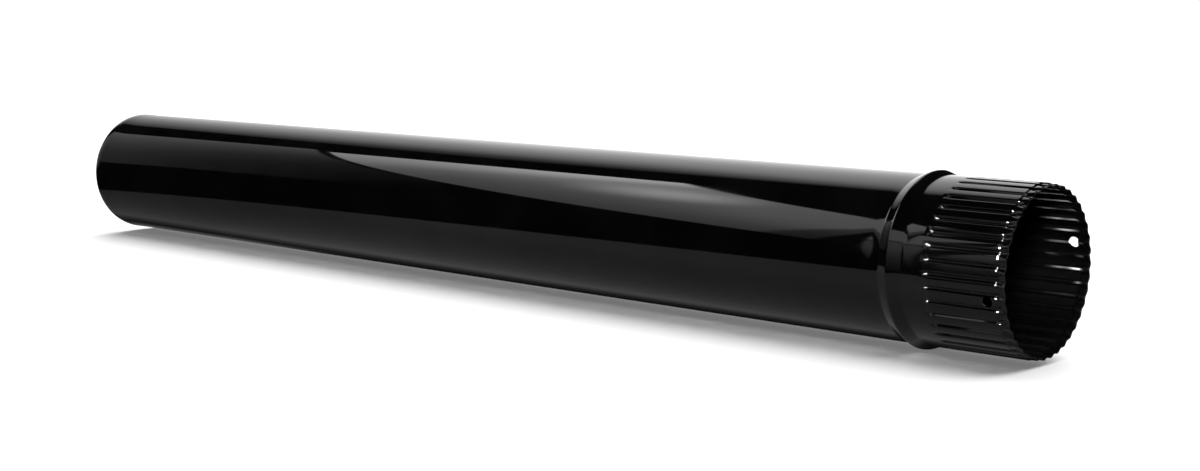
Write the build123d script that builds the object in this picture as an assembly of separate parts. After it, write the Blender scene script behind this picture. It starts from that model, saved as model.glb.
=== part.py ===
from build123d import *
from math import atan, cos, degrees, radians, sin, sqrt, tan
import os

# A length of enamelled stove pipe, lying along X: plain end at -X, crimped end at +X.
# Angles round the pipe are in degrees: 0 faces -Y, 90 is the top and 180 faces +Y.

# Pipe, in millimetres
BORE = 110.0  # inside diameter of the straight wall
WALL = 0.8  # rolled steel sheet with fired enamel on both faces
LENGTH = 1000.0  # plain end to crimped rim

# Plain end, eased open for the next pipe's crimped end
BELL_LENGTH = 28.0
BELL_RISE = 0.4

# Rolled bead, the stop for the next pipe's plain end
BEAD_FROM_RIM = 81.0  # crimped rim to the middle of the bead
BEAD_WIDTH = 17.5
BEAD_HEIGHT = 3.0
BEAD_CROWN_RADIUS = 3.0
BEAD_FOOT_RADIUS = 3.0  # hollow on either side, between the wall and the bead's straight flank

# Crimp: narrow-bottomed grooves pressed in side by side, each with a ramp at its closed end
CRIMP_COUNT = 39
CRIMP_LENGTH = 56.0  # crimped rim to the closed end of a groove
CRIMP_DEPTH = 1.8
CRIMP_ROOT_WIDTH = 0.8
CRIMP_FLANK_ANGLE = 40.0  # lean of a groove's sides
CRIMP_RAMP_ANGLE = 42.0  # slope of a groove's closed end
CRIMP_FIRST_ANGLE = -9.0  # where the first groove lies

# Crests between the grooves, which lean in slowly and then faster over the lip at the rim
CREST_DROP = 0.1  # at the lip
LIP_LENGTH = 6.0
LIP_DROP = 0.8  # at the rim

# Pair of opposite holes through the crimped end
HOLE_DIAMETER = 7.0
HOLE_FROM_RIM = 11.5
HOLE_ANGLE = -13.6

# Welded seam along the back of the pipe, pressed flat from the bead to the crimped rim
SEAM_WIDTH = 4.0
SEAM_RISE = 0.2
SEAM_ANGLE = 225.0

OVERCUT = 1.0  # how far a cutting shape runs past what it cuts

radius = BORE / 2 + WALL
crimp_start = LENGTH - CRIMP_LENGTH


def around(angle, shape):
    """Turn a shape drawn above the axis to an angle round the pipe."""
    return Rot(X=90 - angle) * shape


def bead_lines(depth):
    """Bead at a depth under the outer face: a crown arc and two straight flanks, each with a hollow foot."""
    base = radius - depth
    middle = LENGTH - BEAD_FROM_RIM
    half = BEAD_WIDTH / 2
    bends = 2 * (BEAD_CROWN_RADIUS + BEAD_FOOT_RADIUS) - BEAD_HEIGHT
    lean = 2 * atan((half - sqrt(half**2 - BEAD_HEIGHT * bends)) / bends)
    crown = BEAD_CROWN_RADIUS - depth
    foot = BEAD_FOOT_RADIUS + depth
    reach = crown * sin(lean)
    turn = base + BEAD_HEIGHT - crown * (1 - cos(lean))
    toe = half - foot * sin(lean)
    heel = base + foot * (1 - cos(lean))
    return [
        TangentArc((middle - half, base), (middle - toe, heel), tangent=(1, 0)),
        Line((middle - toe, heel), (middle - reach, turn)),
        ThreePointArc((middle - reach, turn), (middle, base + BEAD_HEIGHT), (middle + reach, turn)),
        Line((middle + reach, turn), (middle + toe, heel)),
        TangentArc((middle + half, base), (middle + toe, heel), tangent=(-1, 0)),
    ]


def half_section(depth, overrun=0.0):
    """Half section of the pipe, filled from its axis to a depth under the outer face."""
    base = radius - depth
    mouth = base + BELL_RISE
    crest = base - CREST_DROP
    rim = crest - (LIP_DROP - CREST_DROP) * (1 + overrun / LIP_LENGTH)
    bead = bead_lines(depth)
    lines = [
        TangentArc((BELL_LENGTH, base), (0, mouth), tangent=(-1, 0)),
        Line((BELL_LENGTH, base), bead[0] @ 0),
        *bead,
        Polyline(bead[-1] @ 0, (crimp_start, base), (LENGTH - LIP_LENGTH, crest), (LENGTH + overrun, rim),
                 (LENGTH + overrun, 0), (-overrun, 0), (-overrun, mouth)),
    ]
    if overrun:
        lines.append(Line((-overrun, mouth), (0, mouth)))
    return Plane.XZ * make_face(lines)


def crimp_tool(depth):
    """One groove at a depth under the outer face: a tapered section swept down a ramp and on past the rim."""
    lean = radians(CRIMP_FLANK_ANGLE)
    ramp = radians(CRIMP_RAMP_ANGLE)
    height = CRIMP_DEPTH + OVERCUT
    half_root = CRIMP_ROOT_WIDTH / 2 + depth * tan((radians(90) - lean) / 2)
    half_top = half_root + height * tan(lean)
    root = radius - CRIMP_DEPTH - depth
    nose = crimp_start + CRIMP_DEPTH / tan(ramp) - depth * tan(ramp / 2)
    path = Polyline((nose - height / tan(ramp), 0, root + height), (nose, 0, root), (LENGTH + OVERCUT, 0, root))
    start = Plane(path @ 0, x_dir=(0, 1, 0), z_dir=path % 0)
    section = start * make_face(Polyline((-half_root, 0), (half_root, 0), (half_top, height), (-half_top, height),
                                         close=True))
    return sweep(section, path=path, transition=Transition.RIGHT)


def crimped_blank(depth, overrun=0.0):
    """Pipe filled from its axis to a depth under the outer face, with every groove pressed in."""
    pitch = 360 / CRIMP_COUNT
    tool = crimp_tool(depth)
    turned = around(CRIMP_FIRST_ANGLE, revolve(half_section(depth, overrun), axis=Axis.X))
    return turned - [around(CRIMP_FIRST_ANGLE + i * pitch, tool) for i in range(CRIMP_COUNT)]


def seam_strip():
    """Raised strip of the welded seam, from the plain end to the bead."""
    sweep_angle = degrees(SEAM_WIDTH / radius)
    bead_start = LENGTH - BEAD_FROM_RIM - BEAD_WIDTH / 2
    strip = half_section(-SEAM_RISE) - half_section(WALL / 2)
    strip &= Plane.XZ * Rectangle(bead_start, radius + OVERCUT, align=Align.MIN)
    return around(SEAM_ANGLE + sweep_angle / 2, revolve(strip, axis=Axis.X, revolution_arc=sweep_angle))


def cross_hole():
    """Drill that goes right through both walls of the crimped end."""
    drill = Cylinder(HOLE_DIAMETER / 2, 2 * (radius + OVERCUT))
    return around(HOLE_ANGLE, Pos(X=LENGTH - HOLE_FROM_RIM) * drill)


pipe = crimped_blank(0.0) - crimped_blank(WALL, OVERCUT)
pipe += seam_strip()
pipe -= cross_hole()

# The pipe lies on its bead, with the origin under its middle
pipe = Pos(X=-LENGTH / 2, Z=radius + BEAD_HEIGHT) * pipe

os.makedirs("parts", exist_ok=True)
export_step(pipe, "parts/stove_pipe.step")
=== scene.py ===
import bmesh
import bpy
from math import atan, atan2, cos, degrees, hypot, pi, radians, sin, sqrt, tan
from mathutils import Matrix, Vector


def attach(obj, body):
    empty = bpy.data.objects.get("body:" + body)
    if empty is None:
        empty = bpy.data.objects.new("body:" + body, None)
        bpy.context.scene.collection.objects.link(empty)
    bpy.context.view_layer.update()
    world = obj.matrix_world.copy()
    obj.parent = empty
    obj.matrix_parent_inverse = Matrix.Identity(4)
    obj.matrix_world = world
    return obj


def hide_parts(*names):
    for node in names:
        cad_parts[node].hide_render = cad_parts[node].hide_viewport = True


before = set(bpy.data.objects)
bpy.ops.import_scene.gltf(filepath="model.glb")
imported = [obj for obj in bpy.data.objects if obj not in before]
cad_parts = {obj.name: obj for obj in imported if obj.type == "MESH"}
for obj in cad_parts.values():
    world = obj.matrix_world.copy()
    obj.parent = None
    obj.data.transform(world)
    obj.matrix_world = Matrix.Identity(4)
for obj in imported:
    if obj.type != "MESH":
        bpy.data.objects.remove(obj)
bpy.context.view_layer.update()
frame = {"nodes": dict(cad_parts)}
print("frame loaded:", ", ".join(frame["nodes"]))

# Metres throughout. The pipe lies along X, crimped end at +X.
# Angles round it: 0 faces -Y, 90 is the top, 180 faces +Y.


# Shader wiring

class Wire:  # a socket that can be used in sums
    def __init__(self, paint, socket):
        self.paint, self.socket = paint, socket

    def math(self, operation, *others):
        return self.paint.node("ShaderNodeMath", {"operation": operation}, dict(enumerate((self,) + others)))

    def __add__(self, other):
        return self.math("ADD", other)

    def __sub__(self, other):
        return self.math("SUBTRACT", other)

    def __mul__(self, other):
        return self.math("MULTIPLY", other)

    def __truediv__(self, other):
        return self.math("DIVIDE", other)

    def __rsub__(self, other):
        return self.paint.node("ShaderNodeMath", {"operation": "SUBTRACT"}, {0: other, 1: self})

    __radd__ = __add__
    __rmul__ = __mul__


class Paint:  # one material and its nodes
    def __init__(self, name):
        self.material = bpy.data.materials.new(name)
        self.material.use_nodes = True
        self.tree = self.material.node_tree
        self.tree.nodes.clear()

    def node(self, kind, settings=None, inputs=None, out=0):
        made = self.tree.nodes.new(kind)
        for key, value in (settings or {}).items():
            if key == "stops":
                setStops(made.color_ramp, value)
            else:
                setattr(made, key, value)
        for key, value in (inputs or {}).items():
            if isinstance(value, Wire):
                self.tree.links.new(value.socket, made.inputs[key])
            else:
                made.inputs[key].default_value = value
        return Wire(self, made.outputs[out]) if made.outputs else None

    def spot(self):  # object coordinates
        return self.node("ShaderNodeTexCoord", out="Object")

    def axes(self, spot):  # a vector as three numbers
        return [self.node("ShaderNodeSeparateXYZ", None, {0: spot}, out=i) for i in range(3)]

    def span(self, value, low, high):  # 0 at low, 1 at high, eased between them
        return self.node("ShaderNodeMapRange", {"interpolation_type": "SMOOTHSTEP"},
                         {"Value": value, "From Min": low, "From Max": high})

    def ramp(self, value, stops):
        return self.node("ShaderNodeValToRGB", {"stops": stops}, {"Fac": value})

    def noise(self, spot, scale, detail=2.0, stretch=(1, 1, 1)):
        stretched = self.node("ShaderNodeMapping", None, {"Vector": spot, "Scale": stretch})
        return self.node("ShaderNodeTexNoise", None, {"Vector": stretched, "Scale": scale, "Detail": detail})

    def blend(self, share, first, second):
        return self.node("ShaderNodeMix", {"data_type": "RGBA"}, {0: share, 6: first, 7: second}, out=2)

    def bump(self, height):  # height in metres
        return self.node("ShaderNodeBump", None, {"Strength": 1.0, "Distance": 1.0, "Height": height})

    def surface(self, shader):
        self.node("ShaderNodeOutputMaterial", None, {"Surface": shader})
        return self.material


def setStops(ramp, stops):
    while len(ramp.elements) < len(stops):
        ramp.elements.new(1.0)
    for element, (position, value) in zip(ramp.elements, stops):
        element.position = position
        element.color = (value, value, value, 1)


# Modelling by hand

def takeUp(name):  # names the primitive that was just added
    piece = bpy.context.object
    piece.name = piece.data.name = name
    return piece


def clearSelection():
    bpy.ops.object.select_all(action="DESELECT")


def holdOnly(piece):
    clearSelection()
    piece.select_set(True)
    bpy.context.view_layer.objects.active = piece


def pickPoints(piece, test):  # in edit mode, selects points by their place
    bpy.ops.mesh.select_mode(type="VERT")
    bpy.ops.mesh.select_all(action="DESELECT")
    points = bmesh.from_edit_mesh(piece.data)
    for point in points.verts:
        point.select = test(point.co)
    points.select_flush(True)
    bmesh.update_edit_mesh(piece.data)


def pickEdges(piece, test):  # in edit mode, selects edges by the places of their two ends
    bpy.ops.mesh.select_mode(type="EDGE")
    bpy.ops.mesh.select_all(action="DESELECT")
    points = bmesh.from_edit_mesh(piece.data)
    for edge in points.edges:
        edge.select_set(test(edge.verts[0].co, edge.verts[1].co))
    bmesh.update_edit_mesh(piece.data)


def move(shift):
    bpy.ops.transform.translate(value=shift)


def addModifier(piece, name, kind, **settings):
    modifier = piece.modifiers.new(name, kind)
    for key, value in settings.items():
        setattr(modifier, key, value)
    bpy.ops.object.modifier_apply(modifier=modifier.name)


# Enamelled pipe

pipe = dict(
    bore=0.110, wall=0.0008, length=1.0, axisHeight=0.0588, smoothAngle=38.0,
    bellLength=0.028, bellRise=0.0004, bellRows=4, bellToBody=0.006, endGap=0.00002,
    beadFromRim=0.081, beadWidth=0.0175, beadHeight=0.0029,
    crownRadius=0.003, crownRows=8, footRadius=0.003, footRows=4,
    bodyPull=0.0001, bodyRows=(0.020, 0.012, 0.006),  # the bead draws the wall in on both its sides
    collarPull=0.0001, collarRows=(0.003, 0.006, 0.0095, 0.0135),
    rimRound=0.00022, rimSteps=2, rimReach=0.0004, rimRise=0.6, rimRun=0.75,  # the last two in walls
    seamAngle=225.0, seamWidth=0.0044, seamRise=0.0002, seamToBead=0.001,
)
crimp = dict(
    count=39, columns=20, firstAngle=-9.0, length=0.056,
    depth=0.0020, lipDepth=0.0016, rimDepth=0.0020, rootWidth=0.0010, flankLean=30.0,
    rampSlope=38.0, rampEase=0.0008, noseWidth=0.55, noseOpens=4, waveReach=1.15,
    rootRound=0.0006, rootSteps=3, shoulderRound=0.0010, shoulderSteps=4,  # shoulderRound stays over the wall
    rampRows=(0.0570, 0.0563, 0.0557, 0.0551, 0.0545, 0.0539, 0.0533, 0.0527, 0.0520, 0.0512),
    crestDrop=0.0002, lipFrom=0.0062, lipTo=0.0050, lipDrop=0.0007,
    lipRows=(0.0085, 0.0072, 0.0062, 0.0059, 0.0056, 0.0053, 0.0050, 0.0044, 0.0030, 0.0015, 0.00004),
)
hole = dict(diameter=0.007, fromRim=0.0115, angle=-13.6, sides=48, overrun=0.01)
near = dict(spot=1e-5, height=1e-6, pitchJoin=2e-6, rollJoin=4e-6)  # what counts as the same place

radius = pipe["bore"] / 2 + pipe["wall"]
axisHeight = pipe["axisHeight"]
pitch = 2 * pi * radius / crimp["count"]
columnStep = pitch / crimp["columns"]


def softMax(a, b, reach):
    gap = max(reach - abs(a - b), 0) / reach
    return max(a, b) + gap * gap * reach / 4


def softMin(a, b, reach):
    return -softMax(-a, -b, reach)


def ease(share):  # 0 to 1, level at both ends
    share = min(max(share, 0), 1)
    return share * share * (3 - 2 * share)


def crestDepth(fromRim):  # how far the crests lie under the straight wall
    lean = crimp["crestDrop"] * max(crimp["length"] - fromRim, 0) / (crimp["length"] - crimp["lipFrom"])
    step = ease((crimp["lipFrom"] - fromRim) / (crimp["lipFrom"] - crimp["lipTo"]))
    return lean + (crimp["lipDrop"] - lean) * step


def beadFlank():  # from the foot's toe to the crown: (distance from the bead's middle, height), and the flank's lean
    half, rise = pipe["beadWidth"] / 2, pipe["beadHeight"]
    crown, foot = pipe["crownRadius"], pipe["footRadius"]
    bends = 2 * (crown + foot) - rise
    lean = 2 * atan((half - sqrt(half * half - rise * bends)) / bends)
    flank = []
    for i in range(pipe["footRows"] + 1):
        a = lean * i / pipe["footRows"]
        flank.append((half - foot * sin(a), foot * (1 - cos(a))))
    top = (crown * sin(lean), rise - crown * (1 - cos(lean)))
    flank.append(((flank[-1][0] + top[0]) / 2, (flank[-1][1] + top[1]) / 2))
    return flank, lean


def sheetRows():  # (distance from the plain end, height over the straight wall) all along the sheet
    rows = []
    for i in range(pipe["bellRows"] + 1):
        share = i / pipe["bellRows"]
        rows.append((max(pipe["bellLength"] * share, pipe["endGap"]), pipe["bellRise"] * (1 - share) ** 2))
    rows.append((pipe["bellLength"] + pipe["bellToBody"], 0))

    middle = pipe["length"] - pipe["beadFromRim"]
    half, rise, crown = pipe["beadWidth"] / 2, pipe["beadHeight"], pipe["crownRadius"]
    bodyPull, bodyReach = pipe["bodyPull"], pipe["bodyRows"][0]
    collarPull, collarReach = pipe["collarPull"], pipe["collarRows"][-1]
    flank, lean = beadFlank()
    crownAngles = [lean * (2 * i / pipe["crownRows"] - 1) for i in range(pipe["crownRows"] + 1)]
    rows += [(middle - half - x, -bodyPull * (1 - x / bodyReach) ** 2) for x in pipe["bodyRows"]]
    rows += [(middle - x, h - bodyPull * ease(x / half)) for x, h in flank]
    rows += [(middle + crown * sin(a), rise - crown * (1 - cos(a))) for a in crownAngles]
    rows += [(middle + x, h - collarPull * ease(x / half)) for x, h in reversed(flank)]
    rows += [(middle + half + x, -collarPull * (1 - x / collarReach) ** 2) for x in pipe["collarRows"]]
    rows += [(pipe["length"] - s, -crestDepth(s)) for s in crimp["rampRows"] + crimp["lipRows"]]
    return rows


def grooveSection():  # from a groove's middle to the crest's middle: (place round the pipe, share of depth)
    lean, depth = radians(crimp["flankLean"]), crimp["depth"]
    root, shoulder = crimp["rootRound"], crimp["shoulderRound"]
    halfRoot = crimp["rootWidth"] / 2
    halfTop = halfRoot + depth * tan(lean)
    turn = pi / 2 - lean
    rootTangent, topTangent = root * tan(turn / 2), shoulder * tan(turn / 2)
    line = [(0, 1.0)]
    for i in range(crimp["rootSteps"] + 1):
        a = turn * i / crimp["rootSteps"]
        line.append((halfRoot - rootTangent + root * sin(a), 1 - root * (1 - cos(a)) / depth))
    for i in range(crimp["shoulderSteps"] + 1):
        a = turn * (1 - i / crimp["shoulderSteps"])
        line.append((halfTop + topTangent - shoulder * sin(a), shoulder * (1 - cos(a)) / depth))
    return line + [(pitch / 2, 0.0)]


def pressGrooves(sheet, middle):  # moves the columns of the crimped rows down and in
    section = grooveSection()
    slope = tan(radians(crimp["rampSlope"]))
    for fromRim in crimp["rampRows"] + crimp["lipRows"]:
        x = pipe["length"] / 2 - fromRim
        crest = crestDepth(fromRim)
        ramp = softMax((crimp["length"] - fromRim) * slope, 0, crimp["rampEase"])
        share = softMin(ramp, crimp["depth"], crimp["rampEase"]) / crimp["depth"]
        if share <= 0:
            continue
        toRim = ease(1 - fromRim / (crimp["lipFrom"] * crimp["waveReach"]))  # 1 at the rim, a plain wave
        width = crimp["noseWidth"] + (1 - crimp["noseWidth"]) * share
        run = min((crimp["length"] - fromRim) / (crimp["length"] - crimp["lipFrom"]), 1)
        root = crimp["depth"] + (crimp["lipDepth"] - crimp["depth"]) * run + crest
        root += (crimp["rimDepth"] - root) * toRim
        for j, (place, down) in enumerate(section):
            even = j * columnStep
            pressed = place * (width if j < len(section) - 1 else 1)
            pressed = even + (pressed - even) * min(1, crimp["noseOpens"] * share) * (1 - toRim)
            wave = 0.5 + 0.5 * cos(2 * pi * even / pitch)
            depth = (root - crest) * (down * share * (1 - toRim) + wave * toRim)
            for side in ((1, -1) if j else (1,)):
                pickPoints(sheet, lambda co: abs(co.x - x) < near["spot"] and abs(co.y - crest) < near["height"]
                           and abs(co.z - middle - side * even) < near["spot"])
                move((0, depth, side * (pressed - even)))


def roundAngle(co):
    return degrees(atan2(co.z - axisHeight, -co.y)) % 360


def fromAxis(co):
    return hypot(co.y, co.z - axisHeight)


def flatPitch():  # one pitch of the sheet, flat: X along the pipe, Z round it, -Y outwards
    rows = sheetRows()
    middle = radius * radians(crimp["firstAngle"]) - crimp["count"] // 2 * pitch
    start = -pipe["length"] / 2
    clearSelection()
    bpy.ops.mesh.primitive_grid_add(x_subdivisions=1, y_subdivisions=crimp["columns"], size=1,
                                    rotation=(pi / 2, 0, 0))
    sheet = takeUp("stove_pipe_enamel")
    bpy.ops.object.transform_apply(location=True, rotation=True, scale=True)
    bpy.ops.object.mode_set(mode="EDIT")
    bpy.ops.mesh.select_all(action="SELECT")
    bpy.ops.transform.resize(value=(rows[1][0] - rows[0][0], 1, pitch))
    move((start + (rows[0][0] + rows[1][0]) / 2, 0, middle))
    for x, height in rows[:2]:
        pickPoints(sheet, lambda co: abs(co.x - start - x) < near["spot"])
        move((0, -height, 0))
    for (x, height), (nextX, nextHeight) in zip(rows[1:], rows[2:]):
        shift = (nextX - x, height - nextHeight, 0)
        bpy.ops.mesh.extrude_region_move(TRANSFORM_OT_translate={"value": shift})
    pressGrooves(sheet, middle)
    bpy.ops.object.mode_set(mode="OBJECT")
    print("one pitch of the sheet:", len(sheet.data.vertices), "points")
    return sheet


def rollUp(sheet):  # repeats the pitch, rolls it round the axis, closes it and gives it its wall
    addModifier(sheet, "pitches", "ARRAY", count=crimp["count"], use_relative_offset=False,
                use_constant_offset=True, constant_offset_displace=(0, 0, pitch),
                use_merge_vertices=True, merge_threshold=near["pitchJoin"])
    addModifier(sheet, "roll", "SIMPLE_DEFORM", deform_method="BEND", deform_axis="X", angle=2 * pi)
    bpy.ops.object.mode_set(mode="EDIT")
    bpy.ops.mesh.select_all(action="SELECT")
    move((0, -radius, axisHeight))
    bpy.ops.mesh.remove_doubles(threshold=near["rollJoin"])
    bpy.ops.mesh.normals_make_consistent(inside=False)
    bpy.ops.object.mode_set(mode="OBJECT")
    sheet.data.materials.append(enamelOutside())
    sheet.data.materials.append(enamelInside())
    addModifier(sheet, "wall", "SOLIDIFY", thickness=pipe["wall"], offset=-1, use_even_offset=True,
                use_quality_normals=True, material_offset=1, material_offset_rim=0)
    print("rolled and thickened:", len(sheet.data.vertices), "points")


def roundRims(sheet):  # bevels the edges that run along the two rims, not those across the wall
    ends = pipe["length"] / 2 - pipe["rimReach"]
    rise, run = pipe["wall"] * pipe["rimRise"], pipe["wall"] * pipe["rimRun"]
    bpy.ops.object.mode_set(mode="EDIT")
    pickEdges(sheet, lambda a, b: min(abs(a.x), abs(b.x)) > ends
              and abs(fromAxis(a) - fromAxis(b)) < rise and (a - b).length < run)
    bpy.ops.mesh.bevel(offset=pipe["rimRound"], offset_type="OFFSET", segments=pipe["rimSteps"], affect="EDGES",
                       clamp_overlap=True)
    bpy.ops.object.mode_set(mode="OBJECT")


def raiseSeam(sheet):  # a low rounded ridge on the outer face, from the plain end to the bead
    seamEnd = pipe["length"] / 2 - pipe["beadFromRim"] - pipe["beadWidth"] / 2 - pipe["seamToBead"]
    outerFace = radius - pipe["wall"] * 0.4
    stepAngle = degrees(columnStep / radius)
    reach = int(pipe["seamWidth"] / 2 / columnStep)
    bpy.ops.object.mode_set(mode="EDIT")
    for j in range(-reach, reach + 1):
        angle = pipe["seamAngle"] + j * stepAngle
        rise = pipe["seamRise"] * cos(pi * j * columnStep / pipe["seamWidth"]) ** 2
        pickPoints(sheet, lambda co: co.x < seamEnd and fromAxis(co) > outerFace
                   and abs(roundAngle(co) - angle) < stepAngle / 4)
        move((0, -rise * cos(radians(angle)), rise * sin(radians(angle))))
    bpy.ops.object.mode_set(mode="OBJECT")


def punchHoles(sheet):  # one punch goes through both walls
    clearSelection()
    bpy.ops.mesh.primitive_cylinder_add(vertices=hole["sides"], radius=hole["diameter"] / 2,
                                        depth=2 * radius + hole["overrun"],
                                        location=(pipe["length"] / 2 - hole["fromRim"], 0, axisHeight),
                                        rotation=(radians(90 - hole["angle"]), 0, 0))
    punch = takeUp("punch")
    holdOnly(sheet)
    addModifier(sheet, "holes", "BOOLEAN", operation="DIFFERENCE", solver="EXACT", object=punch)
    bpy.data.objects.remove(punch)


def makePipe():
    sheet = flatPitch()
    rollUp(sheet)
    roundRims(sheet)
    raiseSeam(sheet)
    punchHoles(sheet)
    holdOnly(sheet)
    bpy.ops.object.shade_smooth_by_angle(angle=radians(pipe["smoothAngle"]))
    print("pipe finished:", sum(len(face.vertices) - 2 for face in sheet.data.polygons), "triangles")
    return sheet


# Enamel

enamel = dict(
    deep=(0.0010, 0.0010, 0.0011, 1), thin=(0.0026, 0.0026, 0.0026, 1), cloudScale=22, cloudSpan=(0.35, 0.7),
    ior=1.5, gloss=0.035, glossSpread=0.03, smearScale=60, smearStretch=(0.25, 1, 1), smearSpan=(0.45, 0.75),
    peelScale=420, peelDepth=0.0000015, sheetScale=7, sheetStretch=(0.35, 1, 1), sheetDepth=0.0001,
)
innerEnamel = dict(
    cloudScale=30, cloudSpan=(0.3, 0.7), ior=1.6, satin=0.16, satinSpread=0.05,
    grainScale=700, grainStretch=(1, 0.4, 0.4), grainDepth=0.000006,
    # the steel colour, metallic share and roughness on the next line paint the highlight streaks on the ribs
    steel=(0.5, 0.5, 0.52, 1), streakMetallic=0.95, paintedStreak=0.50, ribWidth=0.11,
    unevenScale=75, unevenStretch=(0.5, 1, 1), unevenSpan=(0.38, 0.62),
    paintedStreakFrom=(0.466, 0.482), paintedStreakTo=(0.4930, 0.4965),  # along the pipe, where the painted highlight streaks start and end
    paintedStreakOver=(-0.026, -0.010),  # height over the axis, the band where the painted highlight streaks lie
)


def enamelOutside():
    paint = Paint("black_enamel")
    spot = paint.spot()
    cloud = paint.noise(spot, enamel["cloudScale"], 3)
    smear = paint.noise(spot, enamel["smearScale"], 4, enamel["smearStretch"])
    peel = paint.noise(spot, enamel["peelScale"], 1)
    sheet = paint.noise(spot, enamel["sheetScale"], 1, enamel["sheetStretch"])
    colour = paint.blend(paint.span(cloud, *enamel["cloudSpan"]), enamel["deep"], enamel["thin"])
    rough = enamel["gloss"] + enamel["glossSpread"] * paint.span(smear, *enamel["smearSpan"])
    height = sheet * enamel["sheetDepth"] + peel * enamel["peelDepth"]
    return paint.surface(paint.node("ShaderNodeBsdfPrincipled", None, {
        "Base Color": colour, "Roughness": rough, "IOR": enamel["ior"], "Normal": paint.bump(height)}))


def enamelInside():  # duller, with painted highlight streaks: lines along the ribs near the rim painted as bright bare steel, standing in for streaks of light
    paint = Paint("black_enamel_inside")
    spot = paint.spot()
    x, y, z = paint.axes(spot)
    cloud = paint.noise(spot, innerEnamel["cloudScale"], 3)
    grain = paint.noise(spot, innerEnamel["grainScale"], 2, innerEnamel["grainStretch"])
    turn = (z - axisHeight).math("ARCTAN2", y * -1) * (crimp["count"] / (2 * pi))  # in pitches
    fromRib = (turn - crimp["firstAngle"] * crimp["count"] / 360 + 100.5).math("FRACT") - 0.5
    rib = 1 - paint.span(fromRib.math("ABSOLUTE"), innerEnamel["ribWidth"] * 0.5, innerEnamel["ribWidth"])
    uneven = paint.noise(spot, innerEnamel["unevenScale"], 1, innerEnamel["unevenStretch"])
    along = paint.span(x, *innerEnamel["paintedStreakFrom"]) * (1 - paint.span(x, *innerEnamel["paintedStreakTo"]))
    low, high = (axisHeight + over for over in innerEnamel["paintedStreakOver"])
    # painted highlight: bright metal lines on the ribs, only near the rim and in one band of height, standing in for
    # streaks of light
    paintedStreak = rib * paint.span(uneven, *innerEnamel["unevenSpan"]) * along * paint.span(z, low, high)
    coat = paint.blend(paint.span(cloud, *innerEnamel["cloudSpan"]), enamel["deep"], enamel["thin"])
    colour = paint.blend(paintedStreak, coat, innerEnamel["steel"])
    rough = innerEnamel["satin"] + innerEnamel["satinSpread"] * cloud
    rough = rough + paintedStreak * (innerEnamel["paintedStreak"] - innerEnamel["satin"])
    return paint.surface(paint.node("ShaderNodeBsdfPrincipled", None, {
        "Base Color": colour, "Metallic": paintedStreak * innerEnamel["streakMetallic"], "Roughness": rough,
        "IOR": innerEnamel["ior"], "Normal": paint.bump(grain * innerEnamel["grainDepth"])}))


stovePipe = makePipe()
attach(stovePipe, "root")
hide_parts("stove_pipe")


# Studio

studio = dict(
    floorTone=0.8, floorGlow=0.17, floorSize=60.0, skyRadius=18.0, skyGlow=1.05,
    sunFrom=(-0.16, 0.55, 1.0), sunSpread=95.0, sunPower=6.2,
    keyPlace=(1.35, -1.75, 0.85), keyAim=(0.5, 0, axisHeight), keySize=0.30, keyPower=420.0,
    worldGlow=0.004,
)
cards = {  # corners in order round each card
    "left_softbox": [(-0.8, -0.09, 0.612), (-0.8, -1.61, 0.606), (-0.8, -1.48, 1.72), (-0.8, -0.145, 1.35)],
    "left_patch": [(-0.81, -0.06, 0.0), (-0.81, -0.62, 0.38), (-0.81, -0.62, 0.6), (-0.81, -0.06, 0.6)],
    "front_panel": [(-0.29, -1.3, -0.15), (1.05, -1.3, -0.15), (1.05, -1.3, 1.1), (-0.31, -1.3, 1.1)],
    "side_panel": [(-0.37, -1.3, -0.02), (-0.36, -1.3, -0.02), (-0.40, -1.3, 1.1), (-0.58, -1.3, 1.1)],
    "back_wall": [(0.0, 0.9, -0.2), (-4.5, 0.9, -0.2), (-4.5, 0.9, 4.8), (0.0, 0.9, 4.8)],
    "rear_panel": [(0.5, 1.4, 0.05), (2.6, 1.4, 0.05), (5.0, 1.4, 3.4), (0.6, 1.4, 3.4)],
    "table_top": [(-0.62, -0.1, -0.001), (1.2, -0.48, -0.001), (1.2, 0.6, -0.001), (-0.62, 0.6, -0.001)],
}


def addCard(name, material):  # seen in reflections and nowhere else
    corners = cards[name]
    clearSelection()
    bpy.ops.mesh.primitive_plane_add(size=1)
    card = takeUp(name)
    for vertex, corner in zip(card.data.vertices, (corners[0], corners[1], corners[3], corners[2])):
        vertex.co = corner
    card.data.materials.append(material)
    card.visible_camera = card.visible_diffuse = card.visible_shadow = card.visible_transmission = False


def glowing(paint, strength):
    return paint.surface(paint.node("ShaderNodeEmission", None, {"Color": (1, 1, 1, 1), "Strength": strength}))


softbox = dict(
    reach=1.61, width=1.52,
    across=[(0, 0.08), (0.1, 0.09), (0.13, 0.26), (0.6, 0.3), (0.75, 0.34), (0.84, 0.46), (0.92, 0.8), (1.0, 0.95)],
    low=0.62, lift=0.75, liftSpan=(0.6, 1.25), power=4.0,
    hotSpot=(-0.6, 1.2), hotRadius=0.32, hotPower=2.6,
)


def softboxGlow():
    paint = Paint("softbox_glow")
    x, y, z = paint.axes(paint.spot())
    across = paint.ramp((y + softbox["reach"]) / softbox["width"], softbox["across"])
    upward = softbox["low"] + softbox["lift"] * paint.span(z, *softbox["liftSpan"])
    aside, above = y - softbox["hotSpot"][0], z - softbox["hotSpot"][1]
    hot = 1 - paint.span((aside * aside + above * above).math("SQRT"), 0.0, softbox["hotRadius"])
    return glowing(paint, across * upward * softbox["power"] + hot * softbox["hotPower"])


patch = dict(
    reach=0.62, width=0.6, power=0.66,
    across=[(0, 0.0), (0.17, 0.06), (0.5, 0.16), (0.67, 0.3), (0.83, 0.6), (1.0, 1.0)],
)


def patchGlow():  # pale surface under the softbox
    paint = Paint("patch_glow")
    x, y, z = paint.axes(paint.spot())
    return glowing(paint, paint.ramp((y + patch["reach"]) / patch["width"], patch["across"]) * patch["power"])


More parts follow.
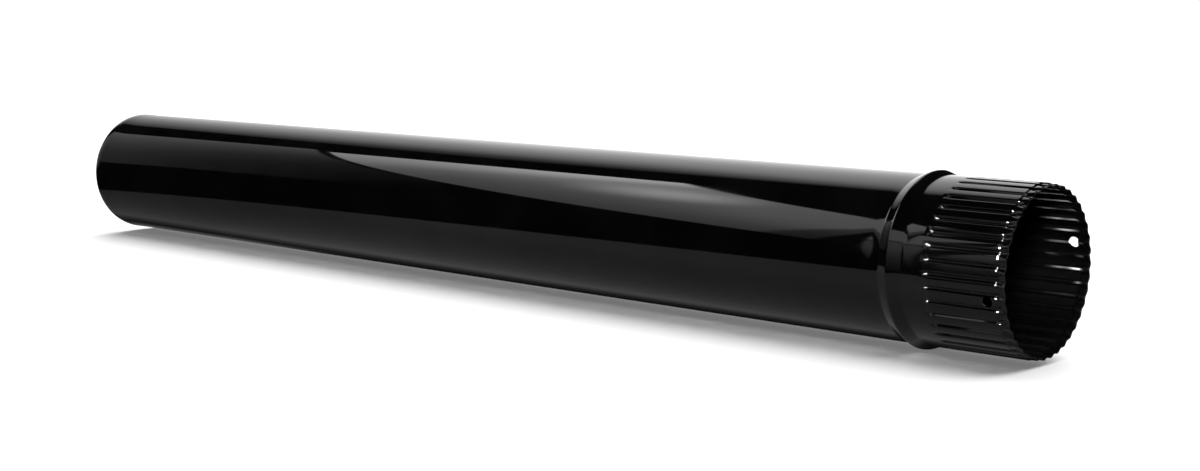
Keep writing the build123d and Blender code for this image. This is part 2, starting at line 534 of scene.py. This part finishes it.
panel = dict(
    reach=0.15, height=1.25, power=1.05,
    upward=[(0, 0.03), (0.12, 0.1), (0.28, 0.2), (0.48, 0.48), (0.63, 0.55), (0.65, 0.3), (0.67, 0.3), (0.69, 1.0)],
)


def panelGlow():  # two tiers with a bar between them
    paint = Paint("panel_glow")
    x, y, z = paint.axes(paint.spot())
    return glowing(paint, paint.ramp((z + panel["reach"]) / panel["height"], panel["upward"]) * panel["power"])


wall = dict(
    reach=4.5, width=4.5,
    along=[(0, 0.16), (0.25, 0.24), (0.45, 0.40), (0.57, 0.57), (0.66, 0.68), (0.77, 0.92), (0.9, 1.0), (1.0, 1.0)],
    low=1.5, drop=0.75, dropSpan=(1.4, 3.4), lean=0.35, topSpan=(2.3, 3.3),
)


def wallGlow():  # fades to the left and upwards, with a leaning top edge
    paint = Paint("wall_glow")
    x, y, z = paint.axes(paint.spot())
    along = paint.ramp((x + wall["reach"]) / wall["width"], wall["along"])
    upward = wall["low"] - wall["drop"] * paint.span(z, *wall["dropSpan"])
    return glowing(paint, along * upward * (1 - paint.span(z + wall["lean"] * x, *wall["topSpan"])))


rear = dict(base=0.04, power=0.9, riseSpan=(0.1, 1.3), fade=0.8, fadeSpan=(1.3, 3.4))


def rearGlow():  # gives the back of the pipe its form
    paint = Paint("rear_glow")
    x, y, z = paint.axes(paint.spot())
    fade = 1 - rear["fade"] * paint.span(z, *rear["fadeSpan"])
    return glowing(paint, rear["base"] + rear["power"] * paint.span(z, *rear["riseSpan"]) * fade)


table = dict(
    width=0.15, spread=0.9, spreadAlong=0.386,
    # the tone ramp holds a painted contact shadow: near black close under the pipe, lighter further out
    shadowedTone=[(0, 0.008), (0.055, 0.008), (0.08, 0.018), (0.11, 0.035), (0.14, 0.12), (0.17, 0.28), (0.233, 0.25),
          (0.307, 0.22), (0.45, 0.20), (0.6, 0.205), (0.93, 0.27)],
    leak=0.10, leakSpan=(0.008, 0.015), leakAlong=(-0.36, -0.14), dim=0.3, dimAlong=(-0.1, -0.4),
)


def tableGlow():  # painted shadow where the pipe nearly touches it, painted light under the raised plain end, and darker towards the plain end
    paint = Paint("table_glow")
    x, y, z = paint.axes(paint.spot())
    aside = y.math("ABSOLUTE") * (table["spread"] + table["spreadAlong"] * x)
    shadowedTone = paint.ramp(aside / table["width"], table["shadowedTone"])
    leak = table["leak"] * (1 - paint.span(aside, *table["leakSpan"])) * (1 - paint.span(x, *table["leakAlong"]))
    return glowing(paint, shadowedTone * (1 - table["dim"] * paint.span(x, *table["dimAlong"])) + leak)


def makeFloor():
    clearSelection()
    bpy.ops.mesh.primitive_plane_add(size=studio["floorSize"])
    floor = takeUp("floor")
    paint = Paint("pale_floor")
    floor.data.materials.append(paint.surface(paint.node("ShaderNodeBsdfPrincipled", None, {
        "Base Color": (studio["floorTone"],) * 3 + (1,), "Roughness": 1.0, "Specular IOR Level": 0.0,
        "Emission Color": (1, 1, 1, 1), "Emission Strength": studio["floorGlow"]})))
    floor.visible_glossy = False


def makeBackdrop():  # white to the camera and to nothing else
    clearSelection()
    bpy.ops.mesh.primitive_uv_sphere_add(radius=studio["skyRadius"], segments=32, ring_count=16)
    sky = takeUp("backdrop")
    sky.data.materials.append(glowing(Paint("white_backdrop"), studio["skyGlow"]))
    sky.visible_diffuse = sky.visible_glossy = sky.visible_shadow = sky.visible_transmission = False


def makeLights():
    clearSelection()
    bpy.ops.object.light_add(type="SUN")
    sun = bpy.context.object
    sun.rotation_euler = Vector(studio["sunFrom"]).to_track_quat("Z", "Y").to_euler()
    sun.data.angle = radians(studio["sunSpread"])
    sun.data.energy = studio["sunPower"]
    sun.visible_glossy = False

    clearSelection()
    bpy.ops.object.light_add(type="AREA", location=studio["keyPlace"])
    key = bpy.context.object
    aim = Vector(studio["keyPlace"]) - Vector(studio["keyAim"])
    key.rotation_euler = aim.to_track_quat("Z", "Y").to_euler()
    key.data.size = studio["keySize"]
    key.data.energy = studio["keyPower"]
    key.visible_diffuse = key.visible_camera = False

    world = bpy.data.worlds.new("studio_dark")
    bpy.context.scene.world = world
    world.use_nodes = True
    glow = world.node_tree.nodes["Background"]
    glow.inputs["Color"].default_value = (1, 1, 1, 1)
    glow.inputs["Strength"].default_value = studio["worldGlow"]
    bpy.context.scene.view_settings.view_transform = "Standard"


def makeStudio():
    makeFloor()
    makeBackdrop()
    addCard("left_softbox", softboxGlow())
    addCard("left_patch", patchGlow())
    tiers = panelGlow()
    addCard("front_panel", tiers)
    addCard("side_panel", tiers)
    addCard("back_wall", wallGlow())
    addCard("rear_panel", rearGlow())
    addCard("table_top", tableGlow())
    makeLights()
    print("studio set")


makeStudio()


# Camera, from a fit to the photograph of 1200 by 471

camera = dict(
    place=(1.01705, -0.96869, 0.22198), forward=(-0.67285, 0.72816, -0.13062), lens=52.149, sensor=36.0,
    clip=(0.01, 100),
)


def makeCamera():
    clearSelection()
    bpy.ops.object.camera_add(location=camera["place"])
    shot = bpy.context.object
    shot.rotation_euler = Vector(camera["forward"]).to_track_quat("-Z", "Y").to_euler()
    shot.data.sensor_fit = "HORIZONTAL"
    shot.data.sensor_width = camera["sensor"]
    shot.data.lens = camera["lens"]
    shot.data.clip_start, shot.data.clip_end = camera["clip"]
    bpy.context.scene.camera = shot
    print("camera set")


makeCamera()
